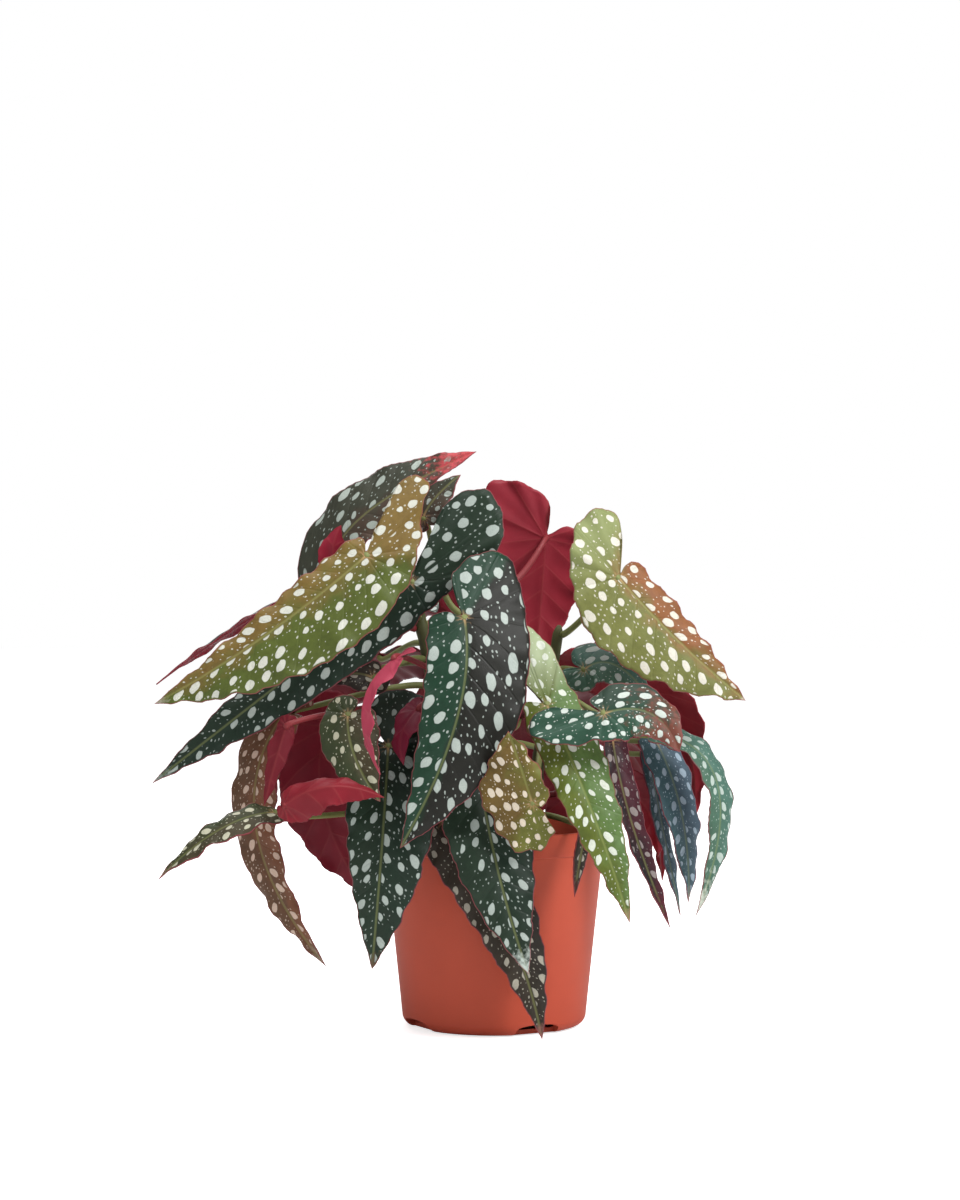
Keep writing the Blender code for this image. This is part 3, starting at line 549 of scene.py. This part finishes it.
class Bend:
    """Carries flat leaf places onto the midrib's curve; arrays in, arrays out, in mm."""

    def __init__(self, attach, middle, tip, face, droop, lobe_bend, big):
        self.a, self.t = np.array(attach, float), np.array(tip, float)
        self.c = 2.0 * np.array(middle, float) - 0.5 * (self.a + self.t)
        self.face = np.array(face, float) / np.linalg.norm(face)
        self.droop, self.lobe_bend, self.big = droop, lobe_bend, big
        self.k = np.linspace(0.0, 1.0, 97)
        path = self.at(self.k)
        steps = np.linalg.norm(np.diff(path, axis=0), axis=1)
        self.run = np.concatenate(([0.0], np.cumsum(steps)))
        self.length = float(self.run[-1])

    def at(self, k):
        k = np.asarray(k, float)[..., None]
        return self.a * (1 - k) ** 2 + self.c * 2 * k * (1 - k) + self.t * k * k

    def frame(self, k):
        k = np.asarray(k, float)[..., None]
        along = (self.c - self.a) * (1 - k) + (self.t - self.c) * k
        along /= np.linalg.norm(along, axis=-1, keepdims=True)
        up = self.face - along * (along @ self.face)[..., None]
        up /= np.linalg.norm(up, axis=-1, keepdims=True)
        return along, up, np.cross(up, along)

    def point(self, u, v, lift):
        k = np.interp(np.maximum(u, 0.0), self.run, self.k)
        along, up, right = self.frame(k)
        behind = np.minimum(u, 0.0)
        sag = -self.droop * np.abs(v) ** 1.5 / 5.0 + self.lobe_bend * (behind / self.big) ** 2
        return (self.at(k) + along * behind[..., None] + right * v[..., None]
                + up * (sag + lift)[..., None])


def leaf_edge(length, side, widths, lobe, small):
    """Control points of the flat edge, from the tip down the right side and round the back."""
    right, left = widths
    big, shift, half = lobe
    wide, narrow = (right, left) if side > 0 else (left, right)
    notch = (1.25 * half - shift * side) / big + 0.35
    small = min(small, 0.5 * narrow / notch)
    back = [
        (-0.30 * big, (0.72 * wide + 0.18 * half) * side + 0.3 * shift),
        (-0.72 * big, 0.92 * half * side + 0.72 * shift),
        (-0.97 * big, 0.45 * half * side + shift),
        (-0.97 * big, -0.30 * half * side + shift),
        (-0.70 * big, -0.70 * half * side + 0.7 * shift),
        (-0.32 * big, -0.40 * half * side + 0.32 * shift),
        (-2.2, -2.2 * notch * side),
        (-0.8 * small, -0.50 * narrow * side),
        (-0.4 * small, -0.88 * narrow * side),
    ]
    if side < 0:
        back = back[::-1]
    out = [(length, 0.0)] + [(k * length, w * right) for k, w in reversed(STATIONS)]
    return out + back + [(k * length, -w * left) for k, w in STATIONS] + [(length, 0.0)]


def smooth_path(points, steps):
    """Curve through the points, with a corner at both ends."""
    p = np.array(points, float)
    p = np.vstack((2 * p[0] - p[1], p, 2 * p[-1] - p[-2]))
    t = np.linspace(0, 1, steps, endpoint=False)[:, None]
    pieces = []
    for a, b, c, d in zip(p, p[1:], p[2:], p[3:]):
        pieces.append(0.5 * (2 * b + (c - a) * t + (2 * a - 5 * b + 4 * c - d) * t ** 2
                             + (3 * b - a - 3 * c + d) * t ** 3))
    return np.vstack(pieces + [p[-2][None]])


def leaf_grid(bend, spec, settings):
    """Ribs from the midrib, or from the attach point behind it, out to the margin."""
    side, widths, lobe, small = spec[6:10]
    edge = smooth_path(leaf_edge(bend.length, side, widths, lobe, small), 24)
    u, v = edge[:, 0], edge[:, 1]
    front = np.nonzero(u <= 0.0)[0]
    first, last = front[0], front[-1]
    rows = settings.rows
    places = bend.length * (1.0 - np.linspace(0.0, 1.0, rows + 1) ** 1.15)
    right_v = np.interp(places, u[:first + 1][::-1], v[:first + 1][::-1])
    left_v = np.interp(places[::-1], u[last:], v[last:])
    back = edge[first + 1:last]
    gaps = np.concatenate(([0.0], np.cumsum(np.linalg.norm(np.diff(back, axis=0), axis=1))))
    even = np.linspace(0.0, gaps[-1], max(36, int(gaps[-1] / 1.8)))
    back = np.column_stack((np.interp(even, gaps, back[:, 0]), np.interp(even, gaps, back[:, 1])))
    ends = np.vstack((np.column_stack((places, right_v)), back,
                      np.column_stack((places[::-1], left_v))))
    roots = np.vstack((np.column_stack((places, 0 * places)), np.zeros_like(back),
                       np.column_stack((places[::-1], 0 * places))))
    return ends, roots


def leaf_mesh(name, spec, look, settings, seed):
    """One leaf blade as a closed solid, with its flat maps stored for the finishes."""
    attach, middle, tip, face, side, widths, lobe, small, droop, lobe_bend = spec[2:]
    bend = Bend(attach, middle, tip, face, droop, lobe_bend, lobe[0])
    ends, roots = leaf_grid(bend, spec, settings)
    n, rings = len(ends), settings.rings
    ripple, spacing = look[2], look[1]
    travel = np.concatenate(([0.0], np.cumsum(np.linalg.norm(np.diff(ends, axis=0), axis=1))))
    out = ends - roots
    reach = np.linalg.norm(out, axis=1)
    teeth = (settings.teeth / MM) * (np.abs((travel / 4.2) % 1.0 - 0.5) * 2 - 0.5)
    teeth += 0.32 * ripple * (np.sin(travel / 2.1 + seed) + 0.7 * np.sin(travel / 3.7 + 2 * seed))
    fade = np.clip(reach / 6.0, 0.0, 1.0)
    ends = ends + out / np.maximum(reach, 1e-6)[:, None] * (teeth * fade)[:, None]
    r = np.linspace(0.0, 1.0, rings + 1)[None, :, None]
    flat = roots[:, None] + (ends - roots)[:, None] * r
    u, v = flat[..., 0], flat[..., 1]
    r = np.broadcast_to(r[..., 0], u.shape)

    vein = settings.vein_spacing / MM
    angle = np.arctan2(np.abs(v), u)
    first = math.atan(1 / VEIN_LEAN)
    straight = (u - VEIN_LEAN * np.abs(v)) / vein
    fan = -(angle - first) / VEIN_FAN
    w = np.where(straight > 0, straight, fan)
    span = np.where(straight > 0, vein * 0.76, np.hypot(u, v) * VEIN_FAN)
    swell = np.sin(np.pi * (w - np.floor(w))) ** 0.8 * np.clip(np.abs(v) / 5, 0, 1)
    swell = swell * np.sin(np.pi * np.clip(r, 0, 1)) * settings.quilting / MM
    wave = np.sin(travel / 4.6 + seed * 1.7) + 0.6 * np.sin(travel / 2.3 + seed * 2.9)
    wave = 0.8 * ripple * (wave * fade)[:, None] * r ** 3
    dip = -settings.groove / MM * np.exp(-(v / 1.5) ** 2) * (u > -1)
    lift = swell + wave + dip

    half = settings.thickness / MM / 2 * (1.0 - 0.45 * r ** 4)
    top = bend.point(u, v, lift + half).reshape(-1, 3)
    low = bend.point(u, v, lift - half).reshape(-1, 3)
    margin = (1.0 - r) * reach[:, None]
    skew = 0.6 * np.clip((u + 15) / 70, 0, 1) * np.abs(v)
    maps = {
        "leaf_flat": np.stack((u, v, margin), -1),
        "leaf_veins": np.stack((w, span, np.abs(v) + 4 * (u < -1)), -1),
        "leaf_dots": np.stack(((u - skew) / spacing + seed * 7.31,
                               v / (spacing * 0.80),
                               np.maximum(-2.0, 1 - (1 - u / bend.length) / look[3])), -1),
    }
    index = np.arange(n * (rings + 1)).reshape(n, rings + 1)
    a, b, c, d = index[:-1, :-1], index[1:, :-1], index[1:, 1:], index[:-1, 1:]
    quads = np.stack((a, d, c, b), -1).reshape(-1, 4)
    count = n * (rings + 1)
    rim = np.stack((index[:-1, -1], index[:-1, -1] + count, index[1:, -1] + count,
                    index[1:, -1]), -1)
    faces = np.vstack((quads, quads[:, ::-1] + count, rim))
    mesh = bpy.data.meshes.new(name)
    mesh.from_pydata(np.vstack((top, low)) * MM, [], faces.tolist())
    for key, values in maps.items():
        layer = mesh.attributes.new(key, "FLOAT_VECTOR", "POINT")
        both = np.vstack((values.reshape(-1, 3),) * 2)
        layer.data.foreach_set("vector", both.astype(np.float32).ravel())
    kinds = np.zeros(len(faces), np.int32)
    kinds[len(quads):] = 1
    mesh.polygons.foreach_set("material_index", kinds)
    mesh.polygons.foreach_set("use_smooth", np.ones(len(faces), bool))
    return mesh, bend


def tidy_solid(mesh):
    """Welds the seams, drops collapsed faces and turns every face outwards."""
    bm = bmesh.new()
    bm.from_mesh(mesh)
    bmesh.ops.remove_doubles(bm, verts=bm.verts, dist=1e-5)
    bmesh.ops.dissolve_degenerate(bm, edges=bm.edges, dist=1e-6)
    loose = [v for v in bm.verts if not v.link_faces]
    bmesh.ops.delete(bm, geom=loose, context="VERTS")
    bmesh.ops.recalc_face_normals(bm, faces=bm.faces)
    bm.to_mesh(mesh)
    bm.free()


def add_tube(bm, points, radii, sides, slot):
    """Closed round rod along points (mm), added to a bmesh."""
    pts = [Vector(p) for p in points]
    last = len(pts) - 1
    across, rings = None, []
    for i, p in enumerate(pts):
        along = (pts[min(i + 1, last)] - pts[max(i - 1, 0)]).normalized()
        seed = across or (Vector((1, 0, 0)) if abs(along.x) < 0.8 else Vector((0, 1, 0)))
        across = (seed - along * seed.dot(along)).normalized()
        other = along.cross(across)
        rings.append([bm.verts.new((p + (across * math.cos(q) + other * math.sin(q))
                                    * radii[i]) * MM)
                      for q in (2 * math.pi * k / sides for k in range(sides))])
    made = []
    for lower, upper in zip(rings, rings[1:]):
        for k in range(sides):
            j = (k + 1) % sides
            made.append(bm.faces.new((lower[k], lower[j], upper[j], upper[k])))
    made.append(bm.faces.new(rings[0][::-1]))
    made.append(bm.faces.new(rings[-1]))
    for face in made:
        face.material_index = slot
        face.smooth = True
    return made


def cane_path(name, height):
    foot, top = CANES[name]
    start, end = Vector((*foot, SOIL_LINE)), Vector(top)
    k = (height - start.z) / (end.z - start.z)
    return start.lerp(end, k) + Vector((0, math.sin(math.pi * k), 0)), 4.0 - 1.3 * k


def petiole_points(spec, bend):
    """Places along a leaf stalk, from under the blade to the side of its cane."""
    along, up, _ = (Vector(q) for q in bend.frame(0.0))
    attach = Vector(bend.a)
    target, radius = cane_path(spec[0], spec[1])
    away = attach - target
    away.z = 0.0
    away.normalize()
    end = target + away * (radius + 0.2)
    reach = (end - attach).length
    p1 = attach - up * min(9.0, reach * 0.3) - along * 3.0
    p2 = end + away * min(14.0, reach * 0.35) + Vector((0, 0, 4))
    points = []
    for i in range(PETIOLE_STEPS + 1):
        k = i / PETIOLE_STEPS
        points.append(attach * (1 - k) ** 3 + p1 * 3 * k * (1 - k) ** 2
                      + p2 * 3 * k * k * (1 - k) + end * k ** 3)
    return points


def place(ob, node):
    """Moves a finished piece so that its box is centred on the node's box."""
    low, high = (Vector(c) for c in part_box(node))
    points = [v.co for v in ob.data.vertices]
    mine_low = Vector(min(p[i] for p in points) for i in range(3))
    mine_high = Vector(max(p[i] for p in points) for i in range(3))
    shift = (low + high - mine_low - mine_high) / 2
    if shift.length > 0.006:
        raise RuntimeError(f"{ob.name}: {shift.length * 1000:.1f} mm off its node {node}")
    for v in ob.data.vertices:
        v.co += shift


def new_piece(name, mesh, materials, *nodes):
    ob = bpy.data.objects.new(name, mesh)
    bpy.context.scene.collection.objects.link(ob)
    for mat in materials:
        mesh.materials.append(mat)
    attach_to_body(ob, "root")
    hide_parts(*nodes)
    return ob


# ---------------------------------------------------------------- leaves

def build_leaf(name, number):
    settings = bpy.context.scene.begonia_leaf
    spec, look = LEAVES[name], LOOKS[name]
    mesh, bend = leaf_mesh(name, spec, look, settings, number + 1)
    tidy_solid(mesh)
    bm = bmesh.new()
    bm.from_mesh(mesh)
    points = petiole_points(spec, bend)
    foot, tip = settings.petiole_foot / MM, settings.petiole_tip / MM
    radii = [tip + (foot - tip) * i / PETIOLE_STEPS + 0.7 * math.exp(-i / 1.2)
             for i in range(PETIOLE_STEPS + 1)]
    add_tube(bm, points, radii, 12, 2)
    bm.to_mesh(mesh)
    bm.free()
    under = UNDERSIDES.get(name, TONES[look[0]][3])
    if SLOTS[name] == "leaf_red":
        stalk = plain_material("red petiole", linear("#8a3438"), 0.6, 0.4, 900, 0.3, 0.0003)
    else:
        stalk = plain_material("green petiole", tuple(settings.petiole_colour), 0.5, 0.4, 900,
                               0.3, 0.0003)
    finishes = upper_material(look[0], look[4]), under_material(under), stalk
    ob = new_piece(name + "_blade", mesh, finishes, name)
    place(ob, name)
    return ob


class BEGONIA_OT_leaves(Operator):
    """Grow every leaf of the plant, blade and petiole together"""
    bl_idname = "begonia.leaves"
    bl_label = "Leaves"

    def execute(self, context):
        for number, name in enumerate(LEAVES):
            build_leaf(name, number)
        return {"FINISHED"}


# ---------------------------------------------------------------- canes

class BEGONIA_OT_canes(Operator):
    """Grow the four upright canes with their swollen joints"""
    bl_idname = "begonia.canes"
    bl_label = "Canes"

    def execute(self, context):
        bark = plain_material("cane bark", linear("#4f5232"), 0.55, 0.5, 700, 0.4, 0.0004)
        for name, (foot, top) in CANES.items():
            bm = bmesh.new()
            points, radii = [], []
            for i in range(61):
                height = SOIL_LINE - CANE_DEPTH + (top[2] - SOIL_LINE + CANE_DEPTH) * i / 60
                q, radius = cane_path(name, max(height, SOIL_LINE))
                q.z = height
                swell = 0.9 * math.exp(-(((height - SOIL_LINE) / 26 % 1) - 0.5) ** 2 / 0.006)
                points.append(q)
                radii.append(max(1.0, (radius + swell) * min(1.0, 0.35 + (60 - i) / 4)))
            add_tube(bm, points, radii, 20, 0)
            mesh = bpy.data.meshes.new(name)
            bm.to_mesh(mesh)
            bm.free()
            new_piece(name + "_stem", mesh, (bark,), name)
        return {"FINISHED"}


# ---------------------------------------------------------------- pot

def turned(name, profile, steps):
    """Closed solid of revolution round Z from a closed profile of (radius, height) in metres."""
    bm = bmesh.new()
    columns = []
    for i in range(steps):
        q = 2 * math.pi * i / steps
        columns.append([bm.verts.new((r * math.cos(q), r * math.sin(q), z))
                        for r, z in profile])
    for i in range(steps):
        a, b = columns[i], columns[(i + 1) % steps]
        for k in range(len(profile) - 1):
            bm.faces.new((a[k], b[k], b[k + 1], a[k + 1]))
    mesh = bpy.data.meshes.new(name)
    bm.to_mesh(mesh)
    bm.free()
    mesh.polygons.foreach_set("use_smooth", np.ones(len(mesh.polygons), bool))
    tidy_solid(mesh)
    return mesh


def arc(cx, cz, radius, start, end, steps):
    return [(cx + radius * math.cos(math.radians(start + (end - start) * i / steps)),
             cz + radius * math.sin(math.radians(start + (end - start) * i / steps)))
            for i in range(steps + 1)]


class BEGONIA_OT_pot(Operator):
    """Mould the nursery pot with its rim band, rounded foot and drain notches"""
    bl_idname = "begonia.pot"
    bl_label = "Pot"

    def execute(self, context):
        s = context.scene.begonia_pot
        low, high = (Vector(c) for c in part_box("pot"))
        rim, top = (high.x - low.x) / 2, high.z
        slope = (rim - s.foot_radius) / (top - s.foot_round)
        under = top - s.rim_band
        step = rim - s.rim_step - slope * s.rim_band
        foot = s.foot_radius - s.rim_step / 2
        bead = 0.0009
        outside = arc(rim - bead, top - bead, bead, 90, 0, 5)
        outside += arc(rim - slope * s.rim_band - 0.0007, under + 0.0007, 0.0007, 0, -90, 4)
        outside += arc(step + 0.0006, under - 0.0006, 0.0006, 90, 180, 3)
        outside += arc(foot - s.foot_round, s.foot_round, s.foot_round, 0, -90, 8)
        inside = [(1e-9, 0.0), (1e-9, s.floor), (foot - s.foot_round - 0.0006, s.floor),
                  (foot - s.wall - 0.0006, s.foot_round + 0.0008)]
        inside += arc(rim - s.wall - s.rim_step + 0.0006, top - 0.0006, 0.0006, 180, 90, 3)
        mesh = turned("pot", outside + inside + outside[:1], 160)
        ob = bpy.data.objects.new("pot_shell_work", mesh)
        context.scene.collection.objects.link(ob)
        cutters = []
        for angle in NOTCH_ANGLES:
            arch = [(s.notch_width / 2 * math.cos(math.radians(q)),
                     s.notch_height * (0.15 + 0.85 * abs(math.sin(math.radians(q))) ** 0.45))
                    for q in range(0, 181, 12)]
            arch += [(-s.notch_width / 2, -0.003), (s.notch_width / 2, -0.003)]
            bm = bmesh.new()
            near = [bm.verts.new((x, -(foot - s.foot_round - 0.002), z)) for x, z in arch]
            far = [bm.verts.new((x, -(foot + 0.006), z)) for x, z in arch]
            bm.faces.new(near)
            bm.faces.new(far[::-1])
            for k in range(len(arch)):
                j = (k + 1) % len(arch)
                bm.faces.new((near[k], far[k], far[j], near[j]))
            bmesh.ops.recalc_face_normals(bm, faces=bm.faces)
            data = bpy.data.meshes.new("notch")
            bm.to_mesh(data)
            bm.free()
            cut = bpy.data.objects.new("notch", data)
            cut.rotation_euler.z = math.radians(angle)
            context.scene.collection.objects.link(cut)
            modifier = ob.modifiers.new("notch", "BOOLEAN")
            modifier.operation, modifier.object, modifier.solver = "DIFFERENCE", cut, "EXACT"
            cutters.append(cut)
        context.view_layer.update()
        evaluated = ob.evaluated_get(context.evaluated_depsgraph_get())
        final = bpy.data.meshes.new_from_object(evaluated)
        for extra in cutters + [ob]:
            bpy.data.objects.remove(extra)
        tidy_solid(final)
        final.name = "pot shell"
        if len(final.polygons) < 2000:
            raise RuntimeError("the pot's notches failed")
        final.shade_smooth()
        final.set_sharp_from_angle(angle=math.radians(35))
        plastic = plain_material("terracotta plastic", tuple(s.colour), 0.86, 0.5, 1400,
                                 0.12, 0.0002)
        new_piece("pot_shell", final, (plastic,), "pot")
        return {"FINISHED"}


# ---------------------------------------------------------------- soil

class BEGONIA_OT_soil(Operator):
    """Fill the pot with potting mix and scatter loose crumbs on it"""
    bl_idname = "begonia.soil"
    bl_label = "Soil"

    def execute(self, context):
        s = context.scene.begonia_soil
        low, high = (Vector(c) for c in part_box("soil"))
        wide = (high.x - low.x) / 2
        earth = plain_material("potting mix", tuple(s.colour), 0.45, 0.85, 420, 1.0, 0.002)
        levels, turns = 26, 110
        profile = [(wide * math.sin(math.pi / 2 * i / levels),
                    s.line + s.mound * math.cos(math.pi / 2 * i / levels) - 0.001 * (i / levels))
                   for i in range(levels + 1)]
        profile = [(max(r, 1e-9), z) for r, z in profile]
        foot = wide - (s.line - 0.009) * 0.113
        profile += [(foot, low.z + 0.0066), (foot - 0.0064, low.z), (1e-9, low.z)]
        mesh = turned("soil", profile + profile[:1], turns)
        for v in mesh.vertices:
            away = math.hypot(v.co.x, v.co.y)
            if v.co.z > s.line - 0.002 and away < wide - 0.0015:
                lump = noise.noise(v.co * 160) * 0.0011 + noise.noise(v.co * 520) * 0.0006
                v.co.z = min(high.z, v.co.z + lump)
        new_piece("soil_fill", mesh, (earth,), "soil")
        random.seed(7)
        bm = bmesh.new()
        for _ in range(s.crumbs):
            spin, away = random.uniform(0, 2 * math.pi), math.sqrt(random.random()) * wide * 0.93
            size = random.uniform(0.0008, 0.0022)
            centre = Vector((away * math.cos(spin), away * math.sin(spin),
                             s.line + s.mound * math.cos(away / wide * math.pi / 2) + size * 0.25))
            made = bmesh.ops.create_icosphere(bm, subdivisions=1, radius=size)["verts"]
            for v in made:
                v.co = v.co * (0.75 + 0.4 * noise.noise(v.co * 900 + centre * 300)) + centre
        crumbs = bpy.data.meshes.new("crumbs")
        bm.to_mesh(crumbs)
        bm.free()
        new_piece("soil_crumbs", crumbs, (earth,), "soil")
        return {"FINISHED"}


# ---------------------------------------------------------------- stage

class BEGONIA_OT_stage(Operator):
    """Set out the pale floor, the soft lights and the camera"""
    bl_idname = "begonia.stage"
    bl_label = "Stage"

    def execute(self, context):
        scene = context.scene
        mesh = bpy.data.meshes.new("floor")
        reach = 6.0
        mesh.from_pydata([(-reach, -reach, 0), (reach, -reach, 0), (reach, reach, 0),
                          (-reach, reach, 0)], [], [(0, 1, 2, 3)])
        floor = bpy.data.objects.new("floor", mesh)
        floor.location.z = -0.0005
        scene.collection.objects.link(floor)
        mat, g, shader = new_material("pale floor")
        shader.inputs["Base Color"].default_value = (0.9, 0.9, 0.9, 1)
        shader.inputs["Emission Color"].default_value = (1, 1, 1, 1)
        seen = g.add("ShaderNodeLightPath").outputs["Is Camera Ray"]
        mat.node_tree.links.new(g.math("MULTIPLY", seen, 0.7),
                                shader.inputs["Emission Strength"])
        shader.inputs["Roughness"].default_value = 0.7
        mesh.materials.append(mat)

        world = bpy.data.worlds.new("studio")
        scene.world = world
        world.use_nodes = True
        g = Graph(world.node_tree)
        seen = g.add("ShaderNodeLightPath").outputs["Is Camera Ray"]
        strength = g.math("ADD", g.math("MULTIPLY", seen, 0.66), 0.34)
        sky = world.node_tree.nodes["Background"]
        sky.inputs["Color"].default_value = (1, 1, 1, 1)
        world.node_tree.links.new(strength, sky.inputs["Strength"])
        scene.view_settings.view_transform = "Standard"
        centre = Vector((0, 0, 0.18))
        for name, spot, size, power in (("key", (1.2, -1.1, 1.4), 0.7, 37),
                                        ("fill", (-1.4, -1.2, 1.0), 1.2, 5),
                                        ("overhead", (-0.2, -0.2, 1.8), 1.2, 22),
                                        ("back", (-0.3, 1.5, 1.2), 1.0, 8)):
            lamp = bpy.data.lights.new(name, "AREA")
            lamp.size, lamp.energy = size, power
            ob = bpy.data.objects.new(name, lamp)
            ob.location = spot
            ob.rotation_euler = (centre - Vector(spot)).to_track_quat("-Z", "Y").to_euler()
            scene.collection.objects.link(ob)
        camera = bpy.data.cameras.new("camera")
        camera.lens, camera.sensor_width = 91.26, 36.0
        camera.clip_start = 0.05
        ob = bpy.data.objects.new("camera", camera)
        ob.location = (-0.0074, -1.6, 0.25)
        ob.rotation_euler = (math.radians(90 - 0.968), 0, 0)
        scene.collection.objects.link(ob)
        scene.camera = ob
        return {"FINISHED"}


# ---------------------------------------------------------------- panel

class BEGONIA_PT_panel(Panel):
    """Pieces of the potted begonia"""
    bl_idname = "BEGONIA_PT_panel"
    bl_label = "Potted begonia"
    bl_space_type = "VIEW_3D"
    bl_region_type = "UI"
    bl_category = "Begonia"

    def draw(self, context):
        scene, column = context.scene, self.layout.column()
        for settings, operator in ((scene.begonia_pot, BEGONIA_OT_pot),
                                   (scene.begonia_soil, BEGONIA_OT_soil),
                                   (None, BEGONIA_OT_canes),
                                   (scene.begonia_leaf, BEGONIA_OT_leaves),
                                   (None, BEGONIA_OT_stage)):
            column.operator(operator.bl_idname)
            if settings:
                for key in settings.__annotations__:
                    column.prop(settings, key)


CLASSES = (BegoniaLeafSettings, BegoniaPotSettings, BegoniaSoilSettings, BEGONIA_OT_pot,
           BEGONIA_OT_soil, BEGONIA_OT_canes, BEGONIA_OT_leaves, BEGONIA_OT_stage,
           BEGONIA_PT_panel)


def register():
    for cls in CLASSES:
        bpy.utils.register_class(cls)
    bpy.types.Scene.begonia_leaf = PointerProperty(type=BegoniaLeafSettings)
    bpy.types.Scene.begonia_pot = PointerProperty(type=BegoniaPotSettings)
    bpy.types.Scene.begonia_soil = PointerProperty(type=BegoniaSoilSettings)


def unregister():
    for key in ("begonia_leaf", "begonia_pot", "begonia_soil"):
        delattr(bpy.types.Scene, key)
    for cls in reversed(CLASSES):
        bpy.utils.unregister_class(cls)


def main():
    register()
    bpy.ops.begonia.pot()
    bpy.ops.begonia.soil()
    bpy.ops.begonia.canes()
    bpy.ops.begonia.leaves()
    bpy.ops.begonia.stage()
    bpy.context.view_layer.update()


if __name__ == "__main__":
    main()
